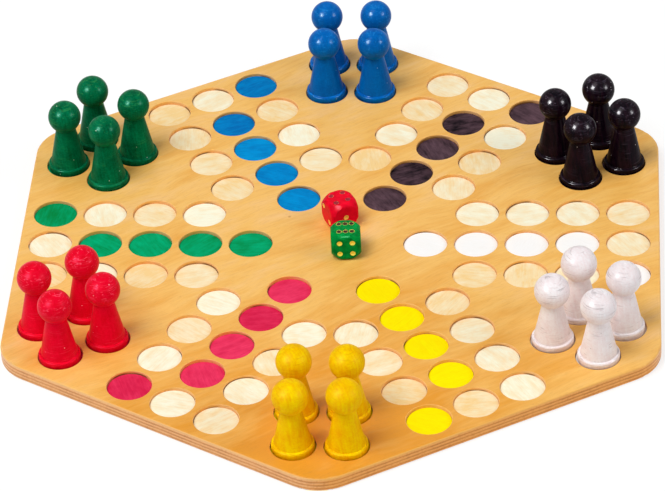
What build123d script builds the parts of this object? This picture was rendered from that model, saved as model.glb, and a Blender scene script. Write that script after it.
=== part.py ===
from build123d import *
import os
from math import cos, hypot, radians, sin, sqrt

# A ludo game for six players: a hexagonal wooden board with round recesses,
# four turned pawns for each player and two dice. All lengths are in millimetres.
# The origin is under the middle of the board, +Z is up and two flat sides face +X and -X.

# Board
recess_diameter = 23.5
recess_depth = 1.8
recess_gap = 3.5  # wood between two neighbouring recesses
arm_rows = 5  # recesses in the middle column of each arm
goal_rows = 4  # the inner ones, in the player's colour
side_margin = 16.8  # middle of an outermost recess to the flat side of the board
home_margin = 19.1  # middle of an outer home recess to the nearest flat side
corner_radius = 25.0
panel_thickness = 4.0
backing_thickness = 4.0
arris_radius = 1.0  # rounded outer edges, top and bottom
rim_chamfer = 0.25  # broken edge around each recess
inlay_clearance = 0.1  # glue gap around each inlay

# Pawns
pawn_height = 44.0
pawn_play = 0.75  # around the foot, within the recess
foot_height = 4.8
foot_chamfer = 0.4
foot_round = 0.8
skirt_step = 1.0  # from the foot's rim in to the cone
neck_diameter = 10.4
head_diameter = 18.0
neck_round = 0.6

# Dice
die_size = 16.0
die_edge_round = 2.2
face_margin = 0.7  # flat face outside its outermost spots
spot_diameter = 2.9
spot_pitch = 3.4
spot_depth = 0.6  # each spot is a shallow hollow, as a ball cutter leaves it
paint_thickness = 0.15
green_die_place = (5.0, -7.4)
green_die_turn = 4.5
red_die_place = (0.5, 19.3)
red_die_turn = 28.0

# Players' arms, counter-clockwise from +X
colours = ["white", "black", "blue", "green", "red", "yellow"]

arm_angle = 360 / len(colours)
half_angle = radians(arm_angle / 2)
pitch = recess_diameter + recess_gap
first_row = sqrt(3) * pitch  # the sides of neighbouring arms then meet one pitch apart
half_width = first_row + (arm_rows - 1) * pitch + side_margin
home_distance = (half_width - home_margin - pitch / 2 * sin(half_angle)) / cos(half_angle) - pitch / 2
board_top = backing_thickness + panel_thickness
floor_height = board_top - recess_depth


def site(angle, outward, sideways):
    """Place on the board, measured along a direction from the middle and square to it."""
    turn = radians(angle)
    return (outward * cos(turn) - sideways * sin(turn), outward * sin(turn) + sideways * cos(turn))


def goal_sites(arm):
    """The player's own recesses: the goal column, and the start at the end of one side."""
    places = [(row, 0) for row in range(goal_rows)] + [(arm_rows - 1, -1)]
    return [site(arm * arm_angle, first_row + row * pitch, side * pitch) for row, side in places]


def track_sites(arm):
    """The plain recesses of an arm: both sides and the end of the middle column."""
    places = [(row, 0) for row in range(goal_rows, arm_rows)]
    places += [(row, -1) for row in range(1, arm_rows - 1)]
    places += [(row, 1) for row in range(1, arm_rows)]
    return [site(arm * arm_angle, first_row + row * pitch, side * pitch) for row, side in places]


def home_sites(arm):
    """Four recesses in a square, in the board's corner clockwise of the arm."""
    places = [(1, -1), (1, 1), (-1, -1), (-1, 1)]
    angle = (arm - 0.5) * arm_angle
    return [site(angle, home_distance + a * pitch / 2, b * pitch / 2) for a, b in places]


def save(piece, name):
    piece.label = name
    export_step(piece, f"parts/{name}.step")


arms = range(len(colours))
plain_sites = [place for arm in arms for place in track_sites(arm)]
all_sites = plain_sites + [place for arm in arms for place in goal_sites(arm) + home_sites(arm)]
os.makedirs("parts", exist_ok=True)

# Outline of both panels: one side for each player, with rounded corners
with BuildSketch() as outline:
    RegularPolygon(half_width, len(colours), major_radius=False, rotation=arm_angle / 2)
    fillet(outline.vertices(), corner_radius)

# Backing panel: the lower half of the board's thickness, without holes
with BuildPart() as backing_panel:
    add(outline.sketch)
    extrude(amount=backing_thickness)
    fillet(backing_panel.faces().sort_by(Axis.Z)[0].edges(), arris_radius)
save(backing_panel.part, "backing_panel")

# Top panel: glued on the backing, bored through at every recess
with BuildPart() as top_panel:
    with BuildSketch(Plane.XY.offset(backing_thickness)):
        add(outline.sketch)
        with Locations(*all_sites):
            Circle(recess_diameter / 2, mode=Mode.SUBTRACT)
    extrude(amount=panel_thickness)
    rims = [wire.edges() for wire in top_panel.faces().sort_by(Axis.Z)[-1].inner_wires()]
    chamfer([edge for edges in rims for edge in edges], rim_chamfer)
    fillet(top_panel.faces().sort_by(Axis.Z)[-1].outer_wire().edges(), arris_radius)
save(top_panel.part, "top_panel")


def make_inlays(name, places):
    """Thin wooden discs glued into the bored holes: they are the floors of the recesses."""
    with BuildPart() as inlays:
        with BuildSketch(Plane.XY.offset(backing_thickness)):
            with Locations(*places):
                Circle(recess_diameter / 2 - inlay_clearance)
        extrude(amount=floor_height - backing_thickness)
    save(inlays.part, name)


make_inlays("natural_inlays", plain_sites)
for arm, colour in enumerate(colours):
    make_inlays(f"{colour}_path_inlays", goal_sites(arm))
    make_inlays(f"{colour}_base_inlays", home_sites(arm))


def turn_pawn(name, place):
    """A turned pawn: a round foot, a cone and a ball for a head, on the floor of its recess."""
    foot = recess_diameter / 2 - pawn_play
    skirt = foot - skirt_step
    neck = neck_diameter / 2
    head = head_diameter / 2
    head_height = pawn_height - head
    neck_height = head_height - sqrt(head**2 - neck**2)
    base = Vector(*place, floor_height)
    with BuildPart() as pawn:
        with BuildSketch(Plane(base, x_dir=(1, 0, 0), z_dir=(0, -1, 0))) as half_profile:
            with BuildLine():
                Polyline(
                    (0, pawn_height),
                    (0, 0),
                    (foot - foot_chamfer, 0),
                    (foot, foot_chamfer),
                    (foot, foot_height),
                    (skirt, foot_height),
                    (neck, neck_height),
                )
                ThreePointArc((neck, neck_height), (head, head_height), (0, pawn_height))
            make_face()
            levels = half_profile.vertices().group_by(Axis.Y)
            fillet(levels[2].sort_by(Axis.X)[-1], foot_round)
            fillet(levels[3], neck_round)
        revolve(axis=Axis(base, (0, 0, 1)))
    save(pawn.part, name)


for arm, colour in enumerate(colours):
    for number, place in enumerate(home_sites(arm), start=1):
        turn_pawn(f"{colour}_pawn_{number}", place)


# Spots of each number on a die, in steps of the spot pitch across and up the face
spot_layouts = {
    1: [(0, 0)],
    2: [(-1, 1), (1, -1)],
    3: [(-1, 1), (0, 0), (1, -1)],
    4: [(-1, -1), (-1, 1), (1, -1), (1, 1)],
    5: [(-1, -1), (-1, 1), (0, 0), (1, -1), (1, 1)],
    6: [(-1, -1), (0, -1), (1, -1), (-1, 1), (0, 1), (1, 1)],
}


def spot_places(top, front, left):
    """Middles of a die's spots, with +Z out of their face. The numbers on opposite faces add up to seven."""
    x, y, z = Vector(1, 0, 0), Vector(0, 1, 0), Vector(0, 0, 1)
    faces = [(z, x, top), (-y, x, front), (-x, y, left)]
    faces += [(-normal, across, 7 - number) for normal, across, number in faces]
    return [
        Plane(normal * (die_size / 2), x_dir=across, z_dir=normal).location
        * Location((column * spot_pitch, row * spot_pitch, 0))
        for normal, across, number in faces
        for column, row in spot_layouts[number]
    ]


# The ball cutter of the spots, and where its middle stands above the face
cutter_radius = ((spot_diameter / 2) ** 2 + spot_depth**2) / (2 * spot_depth)
cutter_rise = cutter_radius - spot_depth

# Paint of one spot: a thin coat on the hollow, up to the face at height 0
below = (Align.CENTER, Align.CENTER, Align.MAX)
with BuildPart() as spot_paint:
    with Locations((0, 0, cutter_rise)):
        Sphere(cutter_radius)
    with Locations((0, 0, cutter_rise + paint_thickness)):
        Sphere(cutter_radius, mode=Mode.SUBTRACT)
    Box(spot_diameter, spot_diameter, spot_depth, align=below, mode=Mode.INTERSECT)


def make_die(name, place, turn, top, front, left):
    """A cube with rounded edges, its corners cut by a ball, with painted spots on its six faces."""
    middle = Plane((*place, board_top + die_size / 2), x_dir=Vector(1, 0, 0).rotate(Axis.Z, turn))
    face_radius = spot_pitch * sqrt(2) + spot_diameter / 2 + face_margin
    spots = spot_places(top, front, left)
    with BuildPart(middle) as die:
        Box(die_size, die_size, die_size)
        fillet(die.edges(), die_edge_round)
        Sphere(hypot(die_size / 2, face_radius), mode=Mode.INTERSECT)
        with Locations(*[spot * Location((0, 0, cutter_rise)) for spot in spots]):
            Sphere(cutter_radius, mode=Mode.SUBTRACT)
    save(die.part, name)
    with BuildPart(middle) as paint:
        with Locations(*spots):
            add(spot_paint.part)
    save(paint.part, f"{name}_spots")


make_die("green_die", green_die_place, green_die_turn, top=6, front=4, left=2)
make_die("red_die", red_die_place, red_die_turn, top=4, front=1, left=2)
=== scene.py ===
import math
import random
import bpy
import bmesh
from mathutils import Matrix, Vector


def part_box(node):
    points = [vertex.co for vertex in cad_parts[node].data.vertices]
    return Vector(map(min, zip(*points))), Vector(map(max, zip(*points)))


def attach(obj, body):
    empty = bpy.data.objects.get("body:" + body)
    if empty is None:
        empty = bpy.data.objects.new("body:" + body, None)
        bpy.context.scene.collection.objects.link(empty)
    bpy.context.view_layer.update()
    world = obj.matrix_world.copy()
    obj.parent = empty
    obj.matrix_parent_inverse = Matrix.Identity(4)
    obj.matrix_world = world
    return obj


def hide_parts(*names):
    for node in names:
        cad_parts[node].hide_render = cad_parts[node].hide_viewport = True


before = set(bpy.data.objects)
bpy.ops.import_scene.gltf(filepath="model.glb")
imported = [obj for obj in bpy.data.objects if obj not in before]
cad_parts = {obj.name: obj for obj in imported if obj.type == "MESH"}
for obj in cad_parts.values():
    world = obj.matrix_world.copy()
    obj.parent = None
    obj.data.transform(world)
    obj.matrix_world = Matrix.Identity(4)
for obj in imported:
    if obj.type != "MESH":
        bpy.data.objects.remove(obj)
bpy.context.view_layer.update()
scene = bpy.context.scene
scene.view_settings.view_transform = "Standard"
mm = 0.001
print("frame loaded:", len(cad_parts), "nodes")


# Colours are written as sRGB hex and turned to linear here
def tint(hexText):
    parts = [int(hexText[i:i + 2], 16) / 255 for i in (1, 3, 5)]
    linear = [c / 12.92 if c <= 0.04045 else ((c + 0.055) / 1.055) ** 2.4 for c in parts]
    return (*linear, 1.0)


# Links or fills a node's inputs. A node given as a value is linked from its first output in use
def plug(tree, node, inputs):
    for key, value in inputs.items():
        if isinstance(value, bpy.types.Node):
            value = next(socket for socket in value.outputs if socket.enabled)
        if isinstance(value, bpy.types.NodeSocket):
            tree.links.new(value, node.inputs[key])
        elif isinstance(value, str) and value.startswith("#"):
            node.inputs[key].default_value = tint(value)
        else:
            node.inputs[key].default_value = value


# Adds a node with its settings, its links and, on a colour ramp, its stops. On a Mix node of
# colours, input 0 is the share of the second one, and inputs 6 and 7 are the two colours
def addNode(tree, kind, inputs=None, stops=(), **settings):
    node = tree.nodes.new(kind)
    for name, value in settings.items():
        setattr(node, name, value)
    plug(tree, node, inputs or {})
    for index, (place, colour) in enumerate(stops):
        ramp = node.color_ramp.elements
        stop = ramp[index] if index < 2 else ramp.new(place)
        stop.position = place
        stop.color = tint(colour)
    return node


def newMaterial(name):
    material = bpy.data.materials.new(name)
    material.use_nodes = True
    tree = material.node_tree
    return material, tree, tree.nodes["Principled BSDF"]


# Noise drawn out along the fibres: length and width are the real sizes of its marks
def grain(tree, place, turn, length, width, detail, shift):
    stretched = addNode(tree, "ShaderNodeMapping", {
        "Vector": place, "Location": (shift, shift, shift), "Rotation": (0, 0, turn),
        "Scale": (length, width, width)}, vector_type="TEXTURE")
    return addNode(tree, "ShaderNodeTexNoise", {
        "Vector": stretched, "Scale": 1.0, "Detail": detail, "Roughness": 0.6})


# Camera: a long lens, a little to the right of the yellow corner and slightly rolled
view = {
    "lens": 222.2,  # on a 36 mm sensor
    "distance": 2.1914,  # metres from the point that it aims at
    "elevation": 37.02,  # angles are in degrees
    "swing": 4.97,  # from -Y towards +X
    "roll": -3.10,
    "aimX": -2.74 * mm,
    "aimY": -2.00 * mm,
    "farthest": 20.0,  # metres
}


def makeCamera():
    pitch, swing, roll = (math.radians(view[k]) for k in ("elevation", "swing", "roll"))
    level = math.cos(pitch)
    back = Vector((math.sin(swing) * level, -math.cos(swing) * level, math.sin(pitch)))
    right = Vector((math.cos(swing), math.sin(swing), 0))
    up = back.cross(right)
    across = math.cos(roll) * right + math.sin(roll) * up
    upright = math.cos(roll) * up - math.sin(roll) * right
    aim = Vector((view["aimX"], view["aimY"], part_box("top_panel")[1].z))
    camera = bpy.data.objects.new("camera", bpy.data.cameras.new("camera"))
    camera.data.lens = view["lens"]
    camera.data.clip_end = view["farthest"]
    turn = Matrix((across, upright, back)).transposed().to_4x4()
    camera.matrix_world = Matrix.Translation(aim + back * view["distance"]) @ turn
    scene.collection.objects.link(camera)
    scene.camera = camera


# Light: two wide soft boxes over the board in an evenly lit white room, and smaller ones
# beside and over the camera that only show in the gloss of the pawns or the dice
studio = {
    "room": 0.25,  # how strongly it lights the pieces
    "roomTint": "#FFFDFA",
    "boxes": [
        # name, direction from the board, distance and size in metres, power in watts,
        # and whose gloss alone it lights
        ("leftBox", (-0.35, -0.26, 0.86), 3.0, 1.6, 64.0, None),
        ("rightBox", (0.79, -0.10, 0.60), 3.2, 1.6, 25.0, None),
        ("leftCatch", (-0.60, -0.49, 0.63), 3.0, 1.0, 640.0, "pawns"),
        ("rightCatch", (0.83, -0.29, 0.465), 3.2, 0.9, 180.0, "pawns"),
        ("frontCatch", (-0.10, -0.60, 0.79), 3.0, 1.4, 900.0, "dice"),
    ],
    "floorSize": 8.0,
    "floorLevel": -0.1 * mm,  # a hair under the board's underside, so that the two don't share a plane
    "floorReach": 0.5 * mm,  # what rests on the floor sees through it over this distance
    "floor": "#F0F0F0",  # as it throws light back at the board
    "floorShade": "#9A9A9A",  # as the camera sees it under the lamps, before it is lifted
    "floorLift": 0.72,
}
# The pieces that the last three lamps light, by the name in their last column
glossy = {kind: bpy.data.collections.new(f"{kind}Gloss") for kind in ("pawns", "dice")}


# White for the camera and for reflections and glass, and something else for other rays
def whiteToLook(tree, look, other):
    path = addNode(tree, "ShaderNodeLightPath").outputs
    seen = addNode(tree, "ShaderNodeMath", {
        0: path["Is Camera Ray"], 1: path["Is Glossy Ray"]}, operation="MAXIMUM")
    seen = addNode(tree, "ShaderNodeMath", {0: seen, 1: path["Is Transmission Ray"]}, operation="MAXIMUM")
    return addNode(tree, "ShaderNodeMixShader", {0: seen, 1: other, 2: look})


def makeRoom():
    world = bpy.data.worlds.new("whiteRoom")
    world.use_nodes = True
    scene.world = world
    tree = world.node_tree
    tree.nodes.clear()
    white = addNode(tree, "ShaderNodeBackground", {"Color": "#FFFFFF", "Strength": 1.0})
    room = addNode(tree, "ShaderNodeBackground", {
        "Color": studio["roomTint"], "Strength": studio["room"]})
    addNode(tree, "ShaderNodeOutputWorld", {"Surface": whiteToLook(tree, white, room)})


def makeLamps():
    for name, direction, distance, size, power, onlyFor in studio["boxes"]:
        light = bpy.data.lights.new(name, "AREA")
        light.shape = "SQUARE"
        light.size = size
        light.energy = power
        box = bpy.data.objects.new(name, light)
        towards = Vector(direction).normalized()
        box.location = towards * distance
        box.rotation_euler = towards.to_track_quat("Z", "Y").to_euler()
        scene.collection.objects.link(box)
        if onlyFor:
            box.visible_diffuse = False
            box.light_linking.receiver_collection = glossy[onlyFor]


# Matt white paper floor: it keeps a soft shadow and lifts to white elsewhere. From below, and to
# what rests on it, it is clear, so that a view from below shows the board's underside
def makeFloor():
    material, tree, shader = newMaterial("white paper floor")
    tree.nodes.remove(shader)
    paper = addNode(tree, "ShaderNodeBsdfDiffuse", {"Color": studio["floor"]})
    shade = addNode(tree, "ShaderNodeBsdfDiffuse", {"Color": studio["floorShade"]})
    lift = addNode(tree, "ShaderNodeEmission", {"Color": "#FFFFFF", "Strength": studio["floorLift"]})
    lifted = addNode(tree, "ShaderNodeAddShader", {0: shade, 1: lift})
    length = addNode(tree, "ShaderNodeLightPath").outputs["Ray Length"]
    near = addNode(tree, "ShaderNodeMath", {0: length, 1: studio["floorReach"]}, operation="LESS_THAN")
    behind = addNode(tree, "ShaderNodeNewGeometry").outputs["Backfacing"]
    clear = addNode(tree, "ShaderNodeMath", {0: near, 1: behind}, operation="MAXIMUM")
    through = addNode(tree, "ShaderNodeBsdfTransparent")
    surface = addNode(tree, "ShaderNodeMixShader", {
        0: clear, 1: whiteToLook(tree, lifted, paper), 2: through})
    plug(tree, tree.nodes["Material Output"], {"Surface": surface})
    mesh = bpy.data.meshes.new("floor")
    reach, level = studio["floorSize"] / 2, studio["floorLevel"]
    corners = [(x, y, level) for x, y in ((-reach, -reach), (reach, -reach), (reach, reach), (-reach, reach))]
    mesh.from_pydata(corners, [], [(0, 1, 2, 3)])
    mesh.materials.append(material)
    floor = bpy.data.objects.new("floor", mesh)
    scene.collection.objects.link(floor)


# Board: beech plywood under clear lacquer, with its plies showing along the edge
board = {
    "grainTurn": math.radians(33),
    "driftLength": 80 * mm,
    "waver": 26 * mm,  # how far the figure drifts to the side and back
    # grain: length and width of its marks, then detail and shift of the noise
    "figure": (60 * mm, 20 * mm, 3.0, 0.0),
    "streaks": (22 * mm, 3.0 * mm, 4.0, 0.3),
    "fibres": (8 * mm, 0.6 * mm, 4.0, 0.7),
    "figureShare": 0.75,  # how much each adds to the tone
    "streakShare": 0.35,
    "shadeAndBounceCentre": (0, -200 * mm, 0),  # painted shade and yellow bounce light from the pawns at the yellow corner: the figure deepens towards this place
    "shadeAndBounceReach": 190 * mm,
    "shadeAndBounceDepth": 0.50,  # how much that painted shade adds to the tone at most
    "tones": [(0.31, "#FACB8C"), (0.55, "#F8C268"), (0.90, "#E89C2C")],  # pale, honey, amber
    "fleckSize": (5 * mm, 0.9 * mm, 0.9 * mm),
    "knotSpacing": 38 * mm,
    # marks: values of their pattern where they set in and are full, their share, and a colour
    "fibre": (0.48, 0.75, 0.28, "#D08C40"),
    "fleck": (0.24, 0.08, 0.16, "#A86428"),
    "knot": (0.030, 0.012, 0.55, "#B8702C"),
    "plyPair": 2.0 * mm,  # one pale ply and one darker cross ply
    "plySway": (22 * mm, 0.5 * mm),  # the plies rise and fall over this length and by this much
    "crossMiddle": 1.65 * mm,  # height of the cross ply's middle in its pair
    "crossReach": 0.38 * mm,  # half of a cross ply's thickness
    "crossSoft": 0.1 * mm,  # to both sides of that, where one ply turns into the other
    "plyLight": "#F9BE82",
    "plyCross": "#E49A56",
    "cutSize": 1.3 * mm,  # of the darker spots where fibres are cut
    "cutEnds": (0.48, 0.75, 0.45, "#D28446"),  # as for the marks above
    "glueReach": (0.05 * mm, 0.20 * mm),  # a glue line is full up to the first, and gone at the second
    "gluePatch": 9 * mm,
    "glueShows": (0.45, 0.65, 0.75),  # the same, for where the lines come and go
    "glueLine": "#A05A2A",
    "sandedAndLitBand": (1.5 * mm, 0.7 * mm),  # below the top: where the paler band over the arris and most of the recess walls sets in and is full
    "sandedAndLitShare": 0.7,
    "sandedAndLit": "#FFD08C",
    "alongGrain": "#FFF1BE",  # filter on edges that run along the grain
    "alongReach": (0.30, 0.80),  # share of the normal along the grain where the filter is full, and gone
    "footShadeHeight": (0.5 * mm, 0.9 * mm),  # above the discs, where a painted shade line fades out
    "footShadePatch": 14 * mm,
    "footShadeShows": (0.50, 0.62, 0.8),  # the same
    "footShade": "#6A3E1C",
    "edgeBand": 4.2 * mm,  # no bore comes this near to the flat sides
    "onFace": (0.70, 0.90),  # share of the normal upright: plies below the first, veneer past the second
    "sheen": 0.25,
    "roughness": (0.31, 0.43),
    "roughSpread": (0.3, 0.7),  # values of the streaks that give the lower and the higher roughness
    "ior": 1.5,
    "relief": 0.04 * mm,
    "reliefStrength": 0.25,
}


def lacqueredBeechPlywood():
    # sliced veneer under clear lacquer: warm, nearly even, with a faint slanted figure and a satin sheen
    material, tree, shader = newMaterial("lacquered beech plywood")
    place = addNode(tree, "ShaderNodeTexCoord").outputs["Object"]
    level = addNode(tree, "ShaderNodeSeparateXYZ", {0: place}).outputs["Z"]
    turn, waver = board["grainTurn"], board["waver"]
    drift = addNode(tree, "ShaderNodeTexNoise", {
        "Vector": place, "Scale": 1 / board["driftLength"], "Detail": 2.0})
    drift = addNode(tree, "ShaderNodeVectorMath", {
        0: drift.outputs["Color"], 1: (waver, waver, 0), 2: place}, operation="MULTIPLY_ADD")
    broad, streaks, fine = (grain(tree, drift, turn, *board[k]) for k in ("figure", "streaks", "fibres"))
    # painted shade and bounce light: the tone deepens the nearer the surface lies to the yellow corner
    shadeAndBounceDistance = addNode(tree, "ShaderNodeVectorMath", {0: place, 1: board["shadeAndBounceCentre"]}, operation="DISTANCE")
    figure = addNode(tree, "ShaderNodeMapRange", {
        "Value": shadeAndBounceDistance, "From Min": 0.0, "From Max": board["shadeAndBounceReach"],
        "To Min": board["shadeAndBounceDepth"], "To Max": 0.0})
    for part, share in ((broad, board["figureShare"]), (streaks, board["streakShare"])):
        figure = addNode(tree, "ShaderNodeMath", {0: part, 1: share, 2: figure}, operation="MULTIPLY_ADD")
    face = addNode(tree, "ShaderNodeValToRGB", {0: figure}, stops=board["tones"])
    # fine fibres, the short flecks that beech has, and a pin knot here and there
    stretched = addNode(tree, "ShaderNodeMapping", {
        "Vector": place, "Rotation": (0, 0, turn), "Scale": board["fleckSize"]}, vector_type="TEXTURE")
    flecks = addNode(tree, "ShaderNodeTexVoronoi", {"Vector": stretched, "Scale": 1.0})
    knots = addNode(tree, "ShaderNodeTexVoronoi", {"Vector": place, "Scale": 1 / board["knotSpacing"]})
    for pattern, mark in ((fine, "fibre"), (flecks, "fleck"), (knots, "knot")):
        start, full, share, colour = board[mark]
        amount = addNode(tree, "ShaderNodeMapRange", {
            "Value": pattern, "From Min": start, "From Max": full, "To Min": 0.0, "To Max": share})
        face = addNode(tree, "ShaderNodeMix", {0: amount, 6: face, 7: colour}, data_type="RGBA")
    # plies by height, pale ones and darker cross plies in turn
    length, swing = board["plySway"]
    sway = addNode(tree, "ShaderNodeTexNoise", {"Vector": place, "Scale": 1 / length, "Detail": 3.0})
    height = addNode(tree, "ShaderNodeMath", {0: sway, 1: swing, 2: level}, operation="MULTIPLY_ADD")
    for step, operation in ((swing / 2, "SUBTRACT"), (board["plyPair"], "FLOORED_MODULO"),
                            (board["crossMiddle"], "SUBTRACT")):
        height = addNode(tree, "ShaderNodeMath", {0: height, 1: step}, operation=operation)
    away = addNode(tree, "ShaderNodeMath", {0: height}, operation="ABSOLUTE")
    reach, soft = board["crossReach"], board["crossSoft"]
    cross = addNode(tree, "ShaderNodeMapRange", {
        "Value": away, "From Min": reach - soft, "From Max": reach + soft, "To Min": 1.0, "To Max": 0.0})
    plies = addNode(tree, "ShaderNodeMix", {
        0: cross, 6: board["plyLight"], 7: board["plyCross"]}, data_type="RGBA")
    cut = addNode(tree, "ShaderNodeTexNoise", {
        "Vector": place, "Scale": 1 / board["cutSize"], "Detail": 2.0})
    start, full, share, colour = board["cutEnds"]
    ends = addNode(tree, "ShaderNodeMapRange", {
        "Value": cut, "From Min": start, "From Max": full, "To Min": 0.0, "To Max": share})
    plies = addNode(tree, "ShaderNodeMix", {0: ends, 6: plies, 7: colour}, data_type="RGBA")
    # brown glue lines between the plies, that come and go
    glue = addNode(tree, "ShaderNodeMath", {0: away, 1: reach}, operation="SUBTRACT")
    glue = addNode(tree, "ShaderNodeMath", {0: glue}, operation="ABSOLUTE")
    full, gone = board["glueReach"]
    line = addNode(tree, "ShaderNodeMapRange", {
        "Value": glue, "From Min": full, "From Max": gone, "To Min": 1.0, "To Max": 0.0})
    patches = addNode(tree, "ShaderNodeTexNoise", {
        "Vector": place, "Scale": 1 / board["gluePatch"], "Detail": 3.0})
    start, full, share = board["glueShows"]
    shows = addNode(tree, "ShaderNodeMapRange", {
        "Value": patches, "From Min": start, "From Max": full, "To Min": 0.0, "To Max": share})
    line = addNode(tree, "ShaderNodeMath", {0: line, 1: shows}, operation="MULTIPLY")
    plies = addNode(tree, "ShaderNodeMix", {0: line, 6: plies, 7: board["glueLine"]}, data_type="RGBA")
    # the arris and the upper recess walls are paler: partly sanded wood, partly painted light on walls that
    # face the lamps
    start, full = (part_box("top_panel")[1].z - part for part in board["sandedAndLitBand"])
    sandedAndLit = addNode(tree, "ShaderNodeMapRange", {
        "Value": level, "From Min": start, "From Max": full, "To Min": 0.0, "To Max": board["sandedAndLitShare"]})
    plies = addNode(tree, "ShaderNodeMix", {0: sandedAndLit, 6: plies, 7: board["sandedAndLit"]}, data_type="RGBA")
    # an edge cut along the grain is deeper and browner than one cut across it
    normal = addNode(tree, "ShaderNodeNewGeometry").outputs["Normal"]
    square = addNode(tree, "ShaderNodeVectorMath", {
        0: normal, 1: (math.cos(turn), math.sin(turn), 0)}, operation="DOT_PRODUCT")
    square = addNode(tree, "ShaderNodeMath", {0: square}, operation="ABSOLUTE")
    full, gone = board["alongReach"]
    along = addNode(tree, "ShaderNodeMapRange", {
        "Value": square, "From Min": full, "From Max": gone, "To Min": 1.0, "To Max": 0.0})
    plies = addNode(tree, "ShaderNodeMix", {
        0: along, 6: plies, 7: board["alongGrain"]}, data_type="RGBA", blend_type="MULTIPLY")
    # painted shade: dark lines at the foot of the bored walls, where they meet the discs, in places. The
    # board's own edge has none: it lies farther out than any bore, measured square to the three pairs of flat
    # sides
    outward = 0.0
    for pair in range(3):
        side = pair * math.pi / 3
        across = addNode(tree, "ShaderNodeVectorMath", {
            0: place, 1: (math.cos(side), math.sin(side), 0)}, operation="DOT_PRODUCT")
        across = addNode(tree, "ShaderNodeMath", {0: across}, operation="ABSOLUTE")
        outward = addNode(tree, "ShaderNodeMath", {0: across, 1: outward}, operation="MAXIMUM")
    bored = addNode(tree, "ShaderNodeMath", {
        0: outward, 1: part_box("top_panel")[1].x - board["edgeBand"]}, operation="LESS_THAN")
    full, gone = (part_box("natural_inlays")[1].z + part for part in board["footShadeHeight"])
    foot = addNode(tree, "ShaderNodeMapRange", {
        "Value": level, "From Min": full, "From Max": gone, "To Min": 1.0, "To Max": 0.0})
    footShaded = addNode(tree, "ShaderNodeTexNoise", {
        "Vector": place, "Scale": 1 / board["footShadePatch"], "Detail": 1.0})
    start, full, share = board["footShadeShows"]
    footShaded = addNode(tree, "ShaderNodeMapRange", {
        "Value": footShaded, "From Min": start, "From Max": full, "To Min": 0.0, "To Max": share})
    for limit in (foot, bored):
        footShaded = addNode(tree, "ShaderNodeMath", {0: footShaded, 1: limit}, operation="MULTIPLY")
    plies = addNode(tree, "ShaderNodeMix", {0: footShaded, 6: plies, 7: board["footShade"]}, data_type="RGBA")
    # the face veneer where the surface lies flat, the plies where it stands
    upward = addNode(tree, "ShaderNodeSeparateXYZ", {0: normal}).outputs["Z"]
    flat = addNode(tree, "ShaderNodeMath", {0: upward}, operation="ABSOLUTE")
    start, full = board["onFace"]
    onFace = addNode(tree, "ShaderNodeMapRange", {"Value": flat, "From Min": start, "From Max": full})
    colour = addNode(tree, "ShaderNodeMix", {0: onFace, 6: plies, 7: face}, data_type="RGBA")
    (low, high), (smooth, dull) = board["roughSpread"], board["roughness"]
    rough = addNode(tree, "ShaderNodeMapRange", {
        "Value": streaks, "From Min": low, "From Max": high, "To Min": smooth, "To Max": dull})
    bump = addNode(tree, "ShaderNodeBump", {
        "Height": fine, "Strength": board["reliefStrength"], "Distance": board["relief"]}, invert=True)
    plug(tree, shader, {"Base Color": colour, "Roughness": rough, "Normal": bump,
                        "IOR": board["ior"], "Specular IOR Level": board["sheen"]})
    return material


# Gives a piece that keeps its CAD mesh a new material
def dress(name, material):
    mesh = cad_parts[name].data
    mesh.materials.clear()
    mesh.materials.append(material)


def dressBoard():
    material = lacqueredBeechPlywood()
    for name in ("top_panel", "backing_panel"):
        dress(name, material)


# Runs a node tree on a source mesh and keeps the result as a plain mesh
def grow(name, tree, source, values):
    piece = bpy.data.objects.new(name, source)
    scene.collection.objects.link(piece)
    modifier = piece.modifiers.new(tree.name, "NODES")
    modifier.node_group = tree
    for item in tree.interface.items_tree:
        if item.in_out == "INPUT" and item.name in values:
            modifier[item.identifier] = values[item.name]
    bpy.context.view_layer.update()
    result = piece.evaluated_get(bpy.context.evaluated_depsgraph_get())
    grown = bpy.data.meshes.new_from_object(result)
    piece.modifiers.remove(modifier)
    piece.data = grown
    grown.name = name
    return piece


def newTree(name, inputs):
    tree = bpy.data.node_groups.new(name, "GeometryNodeTree")
    tree.interface.new_socket("Geometry", in_out="INPUT", socket_type="NodeSocketGeometry")
    tree.interface.new_socket("Geometry", in_out="OUTPUT", socket_type="NodeSocketGeometry")
    for title, kind in inputs.items():
        tree.interface.new_socket(title, in_out="INPUT", socket_type="NodeSocket" + kind)
    return tree, addNode(tree, "NodeGroupInput").outputs


def endTree(tree, geometry, material):
    real = addNode(tree, "GeometryNodeRealizeInstances", {0: geometry})
    dressed = addNode(tree, "GeometryNodeSetMaterial", {"Geometry": real, "Material": material})
    addNode(tree, "NodeGroupOutput", {0: dressed})


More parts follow.
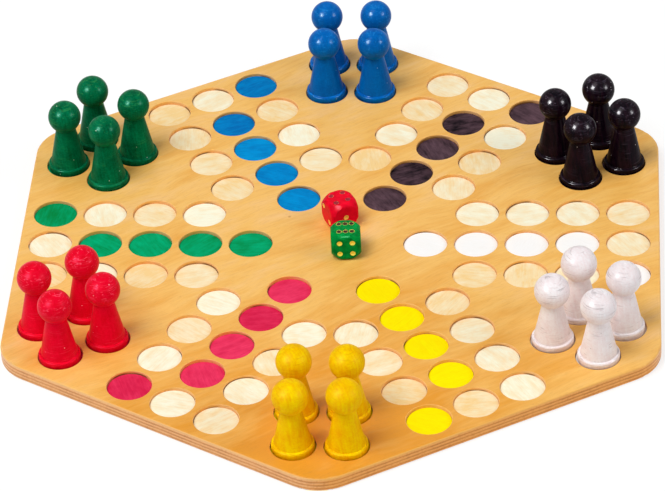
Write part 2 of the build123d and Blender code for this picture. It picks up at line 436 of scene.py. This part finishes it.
# Inlays: thin sanded discs, each cut from another place in the sheet
inlay = {
    "segments": 64,
    "softEdge": 0.25 * mm,
    "level": (-0.10 * mm, 0.35 * mm),  # of the plain discs' tops, against the designed floor
    "weld": 0.01 * mm,
    "seed": 11,
    "toneSeed": 7.0,  # added to the seed for the tones
    "apart": 0.9,  # how far the grain moves from the palest disc to the deepest, in metres
    # grain: length and width of its marks, then detail and shift of the noise
    "clouds": (9 * mm, 5 * mm, 3.0, 0.0),
    "lines": (16 * mm, 1.2 * mm, 3.0, 0.2),
    "fine": (5 * mm, 0.45 * mm, 3.0, 0.5),
    "cloudShare": 0.68,
    "lineShare": 0.32,
    # shares of a disc's own tone and of its pores: plain discs differ more from each other
    "ownTone": {"plain": 0.32, "stained": 0.2},
    "poreShare": {"plain": 0.18, "stained": 0.28},
    "spread": (0.34, 0.66),  # values of the mixed pattern that give the light and the deep colour
    "pores": (0.52, 0.76),  # values of the fine grain where they set in and are full
    "relief": 0.05 * mm,
    "reliefStrength": 0.2,
    "roughness": 0.6,
    "sheen": 0.04,
    "colours": {
        # light, deep, pores of the grain
        "natural": ("#FFFDE4", "#FAD796", "#D09048"),
        "white": ("#FFFFFF", "#FEFDFB", "#EAE4DC"),
        "black": ("#664C56", "#040006", "#745C64"),
        "blue": ("#0096DC", "#006CB6", "#00569C"),
        "green": ("#00B47C", "#008642", "#007236"),
        "red": ("#F23C68", "#D61E4A", "#C01842"),
        "yellow": ("#FFF400", "#FFE800", "#F0C400"),
    },
}


def inlayTree():
    tree, given = newTree("cutInlays", {
        "Radius": "Float", "Thickness": "Float", "Soft edge": "Float", "Lowest": "Float", "Highest": "Float",
        "Segments": "Int", "Seed": "Int", "Material": "Material"})
    disc = addNode(tree, "GeometryNodeMeshCircle", {
        "Vertices": given["Segments"], "Radius": given["Radius"]}, fill_type="NGON")
    straight = addNode(tree, "ShaderNodeMath", {
        0: given["Thickness"], 1: given["Soft edge"]}, operation="SUBTRACT")
    body = addNode(tree, "GeometryNodeExtrudeMesh", {
        "Mesh": disc, "Offset Scale": straight, "Individual": False})
    lip = addNode(tree, "GeometryNodeExtrudeMesh", {
        "Mesh": body, "Selection": body.outputs["Top"],
        "Offset Scale": given["Soft edge"], "Individual": False})
    inner = addNode(tree, "ShaderNodeMath", {0: given["Radius"], 1: given["Soft edge"]}, operation="SUBTRACT")
    share = addNode(tree, "ShaderNodeMath", {0: inner, 1: given["Radius"]}, operation="DIVIDE")
    top = addNode(tree, "GeometryNodeScaleElements", {
        "Geometry": lip, "Selection": lip.outputs["Top"], "Scale": share})
    base = addNode(tree, "GeometryNodeFlipFaces", {0: disc})
    closed = addNode(tree, "GeometryNodeJoinGeometry", {0: top})
    tree.links.new(base.outputs[0], closed.inputs[0])
    merged = addNode(tree, "GeometryNodeMergeByDistance", {"Geometry": closed, "Distance": inlay["weld"]})
    # each disc carries its own place for the grain and its own tone
    placed = addNode(tree, "GeometryNodeStoreNamedAttribute", {
        "Geometry": merged, "Name": "discPlace", "Value": addNode(tree, "GeometryNodeInputPosition")},
        data_type="FLOAT_VECTOR", domain="POINT")
    turn = addNode(tree, "FunctionNodeRandomValue", {
        "Min": (0, 0, 0), "Max": (0, 0, 2 * math.pi), "Seed": given["Seed"]}, data_type="FLOAT_VECTOR")
    copies = addNode(tree, "GeometryNodeInstanceOnPoints", {
        "Points": given["Geometry"], "Instance": placed, "Rotation": turn})
    level = addNode(tree, "FunctionNodeRandomValue", {
        2: given["Lowest"], 3: given["Highest"], "Seed": given["Seed"]}, data_type="FLOAT")
    level = addNode(tree, "ShaderNodeCombineXYZ", {"Z": level})
    moved = addNode(tree, "GeometryNodeTranslateInstances", {
        "Instances": copies, "Translation": level, "Local Space": False})
    otherSeed = addNode(tree, "ShaderNodeMath", {0: given["Seed"], 1: inlay["toneSeed"]}, operation="ADD")
    tone = addNode(tree, "FunctionNodeRandomValue", {2: 0.0, 3: 1.0, "Seed": otherSeed}, data_type="FLOAT")
    toned = addNode(tree, "GeometryNodeStoreNamedAttribute", {
        "Geometry": moved, "Name": "discTone", "Value": tone}, data_type="FLOAT", domain="INSTANCE")
    endTree(tree, toned, given["Material"])
    return tree


def sandedMaple(colour):
    # maple sheet, sanded: matt and pale with a fine silky grain, or soaked with a bright stain
    kind = "plain" if colour == "natural" else "stained"
    wood = "sanded maple" if kind == "plain" else f"{colour} stained maple"
    material, tree, shader = newMaterial(f"{wood} disc")
    light, deep, pore = inlay["colours"][colour]
    tone = addNode(tree, "ShaderNodeAttribute", attribute_name="discTone").outputs["Fac"]
    local = addNode(tree, "ShaderNodeAttribute", attribute_name="discPlace").outputs["Vector"]
    # the tone also moves the grain, so that no two discs match
    away = addNode(tree, "ShaderNodeMath", {0: tone, 1: inlay["apart"]}, operation="MULTIPLY")
    away = addNode(tree, "ShaderNodeCombineXYZ", {"Z": away})
    place = addNode(tree, "ShaderNodeVectorMath", {0: local, 1: away}, operation="ADD")
    clouds, lines, fine = (grain(tree, place, 0.0, *inlay[k]) for k in ("clouds", "lines", "fine"))
    own = inlay["ownTone"][kind]
    blend = addNode(tree, "ShaderNodeMath", {0: tone, 1: own}, operation="MULTIPLY")
    for part, share in ((clouds, inlay["cloudShare"]), (lines, inlay["lineShare"])):
        blend = addNode(tree, "ShaderNodeMath", {
            0: part, 1: (1 - own) * share, 2: blend}, operation="MULTIPLY_ADD")
    low, high = inlay["spread"]
    amount = addNode(tree, "ShaderNodeMapRange", {"Value": blend, "From Min": low, "From Max": high})
    base = addNode(tree, "ShaderNodeMix", {0: amount, 6: light, 7: deep}, data_type="RGBA")
    start, full = inlay["pores"]
    pores = addNode(tree, "ShaderNodeMapRange", {
        "Value": fine, "From Min": start, "From Max": full,
        "To Min": 0.0, "To Max": inlay["poreShare"][kind]})
    base = addNode(tree, "ShaderNodeMix", {0: pores, 6: base, 7: pore}, data_type="RGBA")
    bump = addNode(tree, "ShaderNodeBump", {
        "Height": fine, "Strength": inlay["reliefStrength"], "Distance": inlay["relief"]})
    plug(tree, shader, {"Base Color": base, "Normal": bump, "Roughness": inlay["roughness"],
                        "Specular IOR Level": inlay["sheen"]})
    return material


# Middles of a node's separate discs on their underside, with their radius and thickness
def discPlaces(node):
    made = bmesh.new()
    made.from_mesh(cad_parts[node].data)
    bmesh.ops.remove_doubles(made, verts=made.verts, dist=inlay["weld"])
    places, seen = [], set()
    for start in made.verts:
        if start in seen:
            continue
        seen.add(start)
        island, queue = [], [start]
        while queue:
            vert = queue.pop()
            island.append(vert.co.copy())
            for edge in vert.link_edges:
                other = edge.other_vert(vert)
                if other not in seen:
                    seen.add(other)
                    queue.append(other)
        low, high = (Vector([pick(co[axis] for co in island) for axis in range(3)]) for pick in (min, max))
        middle = (low + high) / 2
        places.append(((middle.x, middle.y, low.z), (high.x - low.x) / 2, high.z - low.z))
    made.free()
    return places


def makeInlays():
    tree = inlayTree()
    for number, colour in enumerate(inlay["colours"]):
        material = sandedMaple(colour)
        groups = ["natural_inlays"]
        if colour != "natural":
            groups = [f"{colour}_path_inlays", f"{colour}_base_inlays"]
        for node in groups:
            middles, radii, thicknesses = zip(*discPlaces(node))
            points = bpy.data.meshes.new("points")
            points.from_pydata(list(middles), [], [])
            # a pawn stands on each home disc, so those lie at the designed floor
            lowest, highest = (0.0, 0.0) if "base" in node else inlay["level"]
            piece = grow(node.replace("inlays", "discs"), tree, points, {
                "Radius": radii[0], "Thickness": thicknesses[0], "Soft edge": inlay["softEdge"],
                "Lowest": lowest, "Highest": highest,
                "Segments": inlay["segments"], "Seed": inlay["seed"] + number, "Material": material})
            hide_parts(node)
            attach(piece, "board")


# Pawns: turned beech dipped in paint, each with its own marks from the lathe
pawn = {
    "perPlayer": 4,
    "height": (42.4 * mm, 43.6 * mm),
    "headSpread": 0.12 * mm,  # how much a head's radius may differ from its colour's
    "foot": 11.0 * mm,
    "footHeight": 4.6 * mm,
    "footChamfer": 0.4 * mm,
    "footBead": 1.05 * mm,
    "beadTurn": math.radians(104),  # where the bead meets the cone
    "neck": 5.2 * mm,
    "crownFlat": (0.4 * mm, 3.2 * mm),  # radius of the facet left by parting off
    "crownTilt": 0.12,  # steepest slope of that facet, along X and along Y
    "seatPlay": 0.45 * mm,  # how far off centre a pawn may stand in its recess
    "seatShare": (0.3, 1.0),  # least and most of that
    "segments": 56,
    "beadSteps": 9,
    "coneSteps": 12,
    "coneEnds": (0.012, 0.988),  # close points at both ends, that keep the cone's corners crisp
    "headSteps": 26,
    "ripple": 0.07 * mm,
    "rippleSpacing": 1.1 * mm,
    "rippleFade": (1.5 * mm, 4.0 * mm),  # it sets in between these radii, so that the crown stays even
    "rippleShift": 13.7,  # how far on in the noise the next seed's ripples are
    "weld": 0.004 * mm,
    "seed": 5,
}
paint = {
    # light and deep are the paint, marks and specks lie on it, and gloss tints its highlights.
    # sheen is how strong those are, and coat the share of a clear coat, whose own are sharper.
    # rings and scuffs are shares of lathe marks and of wear on the crown, streaks the upright
    # grain's weight among the patterns between light and deep
    "white": {"head": 9.3 * mm, "light": "#FFFCFF", "deep": "#F0E0E2", "marks": "#B0A2A6",
              "specks": "#B0A2A6", "gloss": "#FFFFFF", "roughness": 0.38, "sheen": 0.06, "coat": 0.02,
              "rings": 0.60, "scuffs": 0.20, "streaks": 0.4},
    "black": {"head": 8.8 * mm, "light": "#030109", "deep": "#1E0A16", "marks": "#5A5060",
              "specks": "#D8D0D8", "gloss": "#D0C0E8", "roughness": 0.30, "sheen": 0.01, "coat": 0.12,
              "rings": 0.30, "scuffs": 0.50, "streaks": 1.2},
    "blue": {"head": 8.8 * mm, "light": "#0070C8", "deep": "#0054A8", "marks": "#2E98E0",
             "specks": "#A8D8F4", "gloss": "#50CCFF", "roughness": 0.31, "sheen": 0.035, "coat": 0.05,
             "rings": 0.25, "scuffs": 0.45, "streaks": 0.4},
    "green": {"head": 8.8 * mm, "light": "#007C4E", "deep": "#00482A", "marks": "#40A050",
              "specks": "#D8F8E4", "gloss": "#40FFD0", "roughness": 0.33, "sheen": 0.04, "coat": 0.018,
              "rings": 0.30, "scuffs": 0.35, "streaks": 0.45},
    "red": {"head": 9.1 * mm, "light": "#F60834", "deep": "#E00418", "marks": "#FF5A78",
            "specks": "#FFD8DC", "gloss": "#FF6088", "roughness": 0.36, "sheen": 0.06, "coat": 0.0,
            "rings": 0.25, "scuffs": 0.62, "streaks": 0.3},
    "yellow": {"head": 9.3 * mm, "light": "#FFDC00", "deep": "#F4AC00", "marks": "#D89000",
               "specks": "#C88400", "gloss": "#FFE860", "roughness": 0.44, "sheen": 0.06, "coat": 0.0,
               "rings": 0.35, "scuffs": 0.20, "streaks": 0.6},
}
lacquer = {
    "coatRoughness": 0.18,
    "grainTurn": 0.6,  # radians about the upright
    # sizes of the marks: three where they are drawn out, the last one upright
    "streakSize": (0.9 * mm, 5 * mm, 14 * mm),
    "cloudSize": 8 * mm,
    "poreSize": 1.0 * mm,
    "ringSize": (9 * mm, 9 * mm, 0.45 * mm),
    "ringPatch": 6 * mm,
    "scuffSize": (5 * mm, 5 * mm, 1.4 * mm),
    "scuffGap": 1.6 * mm,
    "speckSpacing": 2.6 * mm,
    "dripSize": 2.2 * mm,
    "cloudShare": 0.5,
    "poreShare": 0.5,
    "spread": 0.23,  # of the mixed pattern to both sides of its middle, from light to deep
    # values of a pattern between which the marks set in
    "rings": (0.58, 0.72),
    "ringBreaks": (0.52, 0.70),
    "scuffBreaks": (0.50, 0.60),
    # and between which they end
    "scuffLine": (0.010, 0.035),
    "speckEdge": (0.07, 0.13),
    "middle": 26 * mm,  # height over the board's underside where the fewest lathe marks show
    "moreRings": 10.0,  # how much they gain for each metre away from it
    "crown": (37 * mm, 43 * mm),  # heights over the underside between which the scuffs set in
    "specked": 0.10,  # share of the places that hold a speck
    "speckShare": 0.75,
    "relief": 0.12 * mm,
    "reliefStrength": 0.22,
    "ringRelief": 0.5,
    "speckRelief": 0.6,
}


# Points along part of a circle, as radius and height
def arcPoints(centre, radius, start, end, count):
    steps = [start + (end - start) * i / count for i in range(count + 1)]
    return [(centre[0] + radius * math.cos(a), centre[1] + radius * math.sin(a)) for a in steps]


# Half outline from the middle of the foot to the crown, as radius and height
def pawnOutline(height, head):
    foot, low, bead = pawn["foot"], pawn["footHeight"], pawn["footBead"]
    headHeight = height - head
    neckHeight = headHeight - math.sqrt(head ** 2 - pawn["neck"] ** 2)
    outline = [(0, 0), (foot - pawn["footChamfer"], 0), (foot, pawn["footChamfer"])]
    outline += arcPoints((foot - bead, low - bead), bead, 0, pawn["beadTurn"], pawn["beadSteps"])
    (wide, bottom), steps = outline[-1], pawn["coneSteps"]
    first, last = pawn["coneEnds"]
    for share in [first] + [step / steps for step in range(1, steps)] + [last, 1.0]:
        outline.append((wide + (pawn["neck"] - wide) * share, bottom + (neckHeight - bottom) * share))
    under = math.atan2(neckHeight - headHeight, pawn["neck"])
    outline += arcPoints((0, headHeight), head, under, math.pi / 2, pawn["headSteps"])[1:]
    outline[-1] = (0, height)
    return outline


def pawnTree():
    tree, given = newTree("turnPawn", {
        "Segments": "Int", "Crown height": "Float", "Crown tilt": "Vector", "Ripple": "Float",
        "Ripple spacing": "Float", "Seed": "Int", "Turn": "Vector", "Place": "Vector",
        "Material": "Material"})
    rings = addNode(tree, "GeometryNodeAttributeDomainSize", {0: given["Geometry"]}, component="MESH")
    columns = addNode(tree, "ShaderNodeMath", {0: given["Segments"], 1: 1.0}, operation="ADD")
    sheet = addNode(tree, "GeometryNodeMeshGrid", {
        "Size X": 1.0, "Size Y": 1.0, "Vertices X": rings, "Vertices Y": columns})
    # the sheet's own coordinates give the ring on the outline and the turn about the axis
    spot = addNode(tree, "ShaderNodeSeparateXYZ", {0: sheet.outputs["UV Map"]}).outputs
    last = addNode(tree, "ShaderNodeMath", {0: rings, 1: 1.0}, operation="SUBTRACT")
    ring = addNode(tree, "ShaderNodeMath", {0: spot["X"], 1: last}, operation="MULTIPLY")
    ring = addNode(tree, "ShaderNodeMath", {0: ring}, operation="ROUND")
    angle = addNode(tree, "ShaderNodeMath", {0: spot["Y"], 1: 2 * math.pi}, operation="MULTIPLY")
    outline = addNode(tree, "GeometryNodeSampleIndex", {
        "Geometry": given["Geometry"], "Value": addNode(tree, "GeometryNodeInputPosition"), "Index": ring},
        data_type="FLOAT_VECTOR", domain="POINT")
    drawn = addNode(tree, "ShaderNodeSeparateXYZ", {0: outline}).outputs
    # shallow rings from the lathe, different on each pawn
    count = addNode(tree, "ShaderNodeMath", {0: drawn["Z"], 1: given["Ripple spacing"]}, operation="DIVIDE")
    shift = addNode(tree, "ShaderNodeMath", {
        0: given["Seed"], 1: pawn["rippleShift"], 2: count}, operation="MULTIPLY_ADD")
    noise = addNode(tree, "ShaderNodeTexNoise", {
        "W": shift, "Scale": 1.0, "Detail": 2.0}, noise_dimensions="1D")
    swing = addNode(tree, "ShaderNodeMath", {0: noise, 1: 0.5}, operation="SUBTRACT")
    start, full = pawn["rippleFade"]
    depth = addNode(tree, "ShaderNodeMapRange", {
        "Value": drawn["X"], "From Min": start, "From Max": full,
        "To Min": 0.0, "To Max": given["Ripple"]})
    radius = addNode(tree, "ShaderNodeMath", {0: swing, 1: depth, 2: drawn["X"]}, operation="MULTIPLY_ADD")
    cosine = addNode(tree, "ShaderNodeMath", {0: angle}, operation="COSINE")
    sine = addNode(tree, "ShaderNodeMath", {0: angle}, operation="SINE")
    shape = addNode(tree, "ShaderNodeCombineXYZ", {
        "X": addNode(tree, "ShaderNodeMath", {0: radius, 1: cosine}, operation="MULTIPLY"),
        "Y": addNode(tree, "ShaderNodeMath", {0: radius, 1: sine}, operation="MULTIPLY"), "Z": drawn["Z"]})
    # the crown is cut by a plane that leans a little
    lean = addNode(tree, "ShaderNodeVectorMath", {0: shape, 1: given["Crown tilt"]}, operation="DOT_PRODUCT")
    limit = addNode(tree, "ShaderNodeMath", {
        0: given["Crown height"], 1: lean.outputs["Value"]}, operation="SUBTRACT")
    level = addNode(tree, "ShaderNodeMath", {0: drawn["Z"], 1: limit}, operation="MINIMUM")
    turned = addNode(tree, "ShaderNodeSeparateXYZ", {0: shape}).outputs
    cut = addNode(tree, "ShaderNodeCombineXYZ", {"X": turned["X"], "Y": turned["Y"], "Z": level})
    wrapped = addNode(tree, "GeometryNodeSetPosition", {"Geometry": sheet, "Position": cut})
    closed = addNode(tree, "GeometryNodeMergeByDistance", {"Geometry": wrapped, "Distance": pawn["weld"]})
    smooth = addNode(tree, "GeometryNodeSetShadeSmooth", {"Geometry": closed, "Shade Smooth": True})
    stood = addNode(tree, "GeometryNodeTransform", {
        "Geometry": smooth, "Translation": given["Place"], "Rotation": given["Turn"]})
    endTree(tree, stood, given["Material"])
    return tree


def dippedPaint(colour):
    # thick dipped lacquer over turned beech: satin and deep, with the grain and lathe rings just showing
    material, tree, shader = newMaterial(f"{colour} dip lacquer on turned beech")
    look = paint[colour]
    place = addNode(tree, "ShaderNodeTexCoord").outputs["Object"]
    height = addNode(tree, "ShaderNodeSeparateXYZ", {0: place}).outputs["Z"]
    upright = addNode(tree, "ShaderNodeMapping", {
        "Vector": place, "Rotation": (0, 0, lacquer["grainTurn"]), "Scale": lacquer["streakSize"]},
        vector_type="TEXTURE")
    streaks = addNode(tree, "ShaderNodeTexNoise", {"Vector": upright, "Scale": 1.0, "Detail": 3.0})
    clouds = addNode(tree, "ShaderNodeTexNoise", {
        "Vector": place, "Scale": 1 / lacquer["cloudSize"], "Detail": 2.0})
    pores = addNode(tree, "ShaderNodeTexNoise", {
        "Vector": place, "Scale": 1 / lacquer["poreSize"], "Detail": 3.0})
    shares = ((streaks, look["streaks"]), (clouds, lacquer["cloudShare"]), (pores, lacquer["poreShare"]))
    amount = 0.0
    for part, share in shares:
        amount = addNode(tree, "ShaderNodeMath", {0: part, 1: share, 2: amount}, operation="MULTIPLY_ADD")
    middle, spread = sum(share for part, share in shares) / 2, lacquer["spread"]
    amount = addNode(tree, "ShaderNodeMapRange", {
        "Value": amount, "From Min": middle - spread, "From Max": middle + spread})
    base = addNode(tree, "ShaderNodeMix", {0: amount, 6: look["light"], 7: look["deep"]}, data_type="RGBA")
    # lathe rings, drawn as coarse as they need to show, and broken where the lacquer fills them
    flat = addNode(tree, "ShaderNodeMapping", {
        "Vector": place, "Scale": lacquer["ringSize"]}, vector_type="TEXTURE")
    rings = addNode(tree, "ShaderNodeTexNoise", {"Vector": flat, "Scale": 1.0, "Detail": 1.0})
    patches = addNode(tree, "ShaderNodeTexNoise", {
        "Vector": place, "Scale": 1 / lacquer["ringPatch"], "Detail": 1.0})
    start, full = lacquer["rings"]
    thin = addNode(tree, "ShaderNodeMapRange", {
        "Value": rings, "From Min": start, "From Max": full, "To Min": 0.0, "To Max": look["rings"]})
    away = addNode(tree, "ShaderNodeMath", {0: height, 1: lacquer["middle"]}, operation="SUBTRACT")
    away = addNode(tree, "ShaderNodeMath", {0: away}, operation="ABSOLUTE")
    ends = addNode(tree, "ShaderNodeMath", {
        0: away, 1: lacquer["moreRings"], 2: patches}, operation="MULTIPLY_ADD")
    start, full = lacquer["ringBreaks"]
    broken = addNode(tree, "ShaderNodeMapRange", {"Value": ends, "From Min": start, "From Max": full})
    thin = addNode(tree, "ShaderNodeMath", {0: thin, 1: broken}, operation="MULTIPLY")
    base = addNode(tree, "ShaderNodeMix", {0: thin, 6: base, 7: look["marks"]}, data_type="RGBA")
    # scuffs on the crown: broken lines along the contours of a noise
    around = addNode(tree, "ShaderNodeMapping", {
        "Vector": place, "Scale": lacquer["scuffSize"]}, vector_type="TEXTURE")
    flow = addNode(tree, "ShaderNodeTexNoise", {"Vector": around, "Scale": 1.0, "Detail": 1.0})
    contour = addNode(tree, "ShaderNodeMath", {0: flow, 1: 0.5}, operation="SUBTRACT")
    contour = addNode(tree, "ShaderNodeMath", {0: contour}, operation="ABSOLUTE")
    full, gone = lacquer["scuffLine"]
    scuffs = addNode(tree, "ShaderNodeMapRange", {
        "Value": contour, "From Min": full, "From Max": gone, "To Min": look["scuffs"], "To Max": 0.0})
    gaps = addNode(tree, "ShaderNodeTexNoise", {
        "Vector": place, "Scale": 1 / lacquer["scuffGap"], "Detail": 0.0})
    for value, limits in ((gaps, lacquer["scuffBreaks"]), (height, lacquer["crown"])):
        start, full = limits
        limit = addNode(tree, "ShaderNodeMapRange", {"Value": value, "From Min": start, "From Max": full})
        scuffs = addNode(tree, "ShaderNodeMath", {0: scuffs, 1: limit}, operation="MULTIPLY")
    base = addNode(tree, "ShaderNodeMix", {0: scuffs, 6: base, 7: look["marks"]}, data_type="RGBA")
    # specks in the lacquer: dark dust on the white and yellow paint, and near-white on the others as painted
    # glints of small bubbles
    dots = addNode(tree, "ShaderNodeTexVoronoi", {"Vector": place, "Scale": 1 / lacquer["speckSpacing"]})
    full, gone = lacquer["speckEdge"]
    speck = addNode(tree, "ShaderNodeMapRange", {
        "Value": dots, "From Min": full, "From Max": gone, "To Min": lacquer["speckShare"], "To Max": 0.0})
    chance = addNode(tree, "ShaderNodeSeparateColor", {0: dots.outputs["Color"]})
    chosen = addNode(tree, "ShaderNodeMath", {0: chance, 1: lacquer["specked"]}, operation="LESS_THAN")
    speck = addNode(tree, "ShaderNodeMath", {0: speck, 1: chosen}, operation="MULTIPLY")
    base = addNode(tree, "ShaderNodeMix", {0: speck, 6: base, 7: look["specks"]}, data_type="RGBA")
    # rings, drips and specks stand out a little
    relief = addNode(tree, "ShaderNodeTexNoise", {
        "Vector": place, "Scale": 1 / lacquer["dripSize"], "Detail": 3.0})
    for part, share in ((rings, lacquer["ringRelief"]), (speck, lacquer["speckRelief"])):
        relief = addNode(tree, "ShaderNodeMath", {0: part, 1: share, 2: relief}, operation="MULTIPLY_ADD")
    bump = addNode(tree, "ShaderNodeBump", {
        "Height": relief, "Strength": lacquer["reliefStrength"], "Distance": lacquer["relief"]})
    plug(tree, shader, {"Base Color": base, "Normal": bump, "Roughness": look["roughness"],
                        "Specular IOR Level": look["sheen"], "Specular Tint": look["gloss"],
                        "Coat Weight": look["coat"], "Coat Roughness": lacquer["coatRoughness"]})
    return material


def makePawns():
    tree = pawnTree()
    draw = random.Random(pawn["seed"])
    for colour in paint:
        material = dippedPaint(colour)
        for number in range(1, pawn["perPlayer"] + 1):
            node = f"{colour}_pawn_{number}"
            low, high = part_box(node)
            height = draw.uniform(*pawn["height"])
            head = paint[colour]["head"] + draw.uniform(-1, 1) * pawn["headSpread"]
            source = bpy.data.meshes.new("outline")
            source.from_pydata([(r, 0, z) for r, z in pawnOutline(height, head)], [], [])
            flat, tilt = draw.uniform(*pawn["crownFlat"]), pawn["crownTilt"]
            away, play = draw.uniform(0, 2 * math.pi), draw.uniform(*pawn["seatShare"]) * pawn["seatPlay"]
            middle = (low + high) / 2
            crown = height - head + math.sqrt(head ** 2 - flat ** 2)
            piece = grow(f"{colour}Pawn{number}", tree, source, {
                "Segments": pawn["segments"], "Crown height": crown,
                "Crown tilt": (draw.uniform(-tilt, tilt), draw.uniform(-tilt, tilt), 0),
                "Ripple": pawn["ripple"], "Ripple spacing": pawn["rippleSpacing"],
                "Seed": draw.randrange(100), "Turn": (0, 0, draw.uniform(0, 2 * math.pi)),
                "Place": (middle.x + play * math.cos(away), middle.y + play * math.sin(away), low.z),
                "Material": material})
            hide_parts(node)
            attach(piece, node)
            glossy["pawns"].objects.link(piece)


# Dice: moulded plastic with paint in the drilled spots
dice = {
    # light and deep are the plastic, the first paint colour is that of the spots and the second the darker
    # colour in the bottom of the top face's spots, and gilt is how far down the top face's spots the first
    # colour stays: below 0, only bits of it are left
    "green": {"light": "#009C42", "deep": "#007A32", "gloss": "#90FFC8",
              "spotColour": "#FFF060", "bottomColour": "#3A1E0A", "gilt": 0.02 * mm},
    "red": {"light": "#F60A2C", "deep": "#E20424", "gloss": "#FFA8B0",
            "spotColour": "#FFC458", "bottomColour": "#A0142C", "gilt": -0.04 * mm},
}
dieFinish = {
    "ior": 1.49,
    "roughness": 0.26,
    "sheen": 0.04,
    "cloudSize": 4 * mm,
    "clouds": (0.35, 0.65),  # values of the pattern that give the light and the deep colour
    "relief": 0.1 * mm,
    "reliefStrength": 0.15,
    "spotRoughness": 0.35,
    "spotSheen": 0.2,
    "spotDepth": 2.0 * mm,  # below the top face, where the top's spots have ended
    "borderNoiseSize": 0.7 * mm,
    "ragged": 0.4 * mm,  # how far the border of the darker bottom wanders
    "borderSoft": 0.05 * mm,
}


def polishedAcrylic(colour):
    # moulded acrylic, tumbled: deep even colour, with long soft highlights on its round edges
    material, tree, shader = newMaterial(f"{colour} polished acrylic")
    look = dice[colour]
    place = addNode(tree, "ShaderNodeTexCoord").outputs["Object"]
    clouds = addNode(tree, "ShaderNodeTexNoise", {
        "Vector": place, "Scale": 1 / dieFinish["cloudSize"], "Detail": 2.0})
    low, high = dieFinish["clouds"]
    amount = addNode(tree, "ShaderNodeMapRange", {"Value": clouds, "From Min": low, "From Max": high})
    base = addNode(tree, "ShaderNodeMix", {0: amount, 6: look["light"], 7: look["deep"]}, data_type="RGBA")
    bump = addNode(tree, "ShaderNodeBump", {
        "Height": clouds, "Strength": dieFinish["reliefStrength"], "Distance": dieFinish["relief"]})
    plug(tree, shader, {
        "Base Color": base, "Normal": bump, "IOR": dieFinish["ior"], "Roughness": dieFinish["roughness"],
        "Specular IOR Level": dieFinish["sheen"], "Specular Tint": look["gloss"]})
    return material


def spotEnamel(colour):
    # brushed enamel in the drilled spots: bright, but darker in the bottom of the top face's spots
    material, tree, shader = newMaterial(f"{colour} die spot enamel")
    look, ragged, soft = dice[colour], dieFinish["ragged"], dieFinish["borderSoft"]
    place = addNode(tree, "ShaderNodeTexCoord").outputs["Object"]
    height = addNode(tree, "ShaderNodeSeparateXYZ", {0: place}).outputs["Z"]
    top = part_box(f"{colour}_die")[1].z
    borderNoise = addNode(tree, "ShaderNodeTexNoise", {
        "Vector": place, "Scale": 1 / dieFinish["borderNoiseSize"], "Detail": 2.0})
    uneven = addNode(tree, "ShaderNodeMath", {0: borderNoise, 1: ragged, 2: height}, operation="MULTIPLY_ADD")
    border = top + ragged / 2 - look["gilt"]
    deep = addNode(tree, "ShaderNodeMapRange", {
        "Value": uneven, "From Min": border - soft, "From Max": border + soft, "To Min": 1.0, "To Max": 0.0})
    onTop = addNode(tree, "ShaderNodeMath", {
        0: height, 1: top - dieFinish["spotDepth"]}, operation="GREATER_THAN")
    amount = addNode(tree, "ShaderNodeMath", {0: deep, 1: onTop}, operation="MULTIPLY")
    base = addNode(tree, "ShaderNodeMix", {0: amount, 6: look["spotColour"], 7: look["bottomColour"]}, data_type="RGBA")
    plug(tree, shader, {"Base Color": base, "Roughness": dieFinish["spotRoughness"],
                        "Specular IOR Level": dieFinish["spotSheen"]})
    return material


def dressDice():
    for colour in dice:
        dress(f"{colour}_die", polishedAcrylic(colour))
        dress(f"{colour}_die_spots", spotEnamel(colour))
        glossy["dice"].objects.link(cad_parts[f"{colour}_die"])


makeCamera()
makeRoom()
makeLamps()
makeFloor()
print("camera and light ready")
dressBoard()
print("board dressed")
makeInlays()
print("inlays cut")
makePawns()
print("pawns turned")
dressDice()
print("dice dressed")
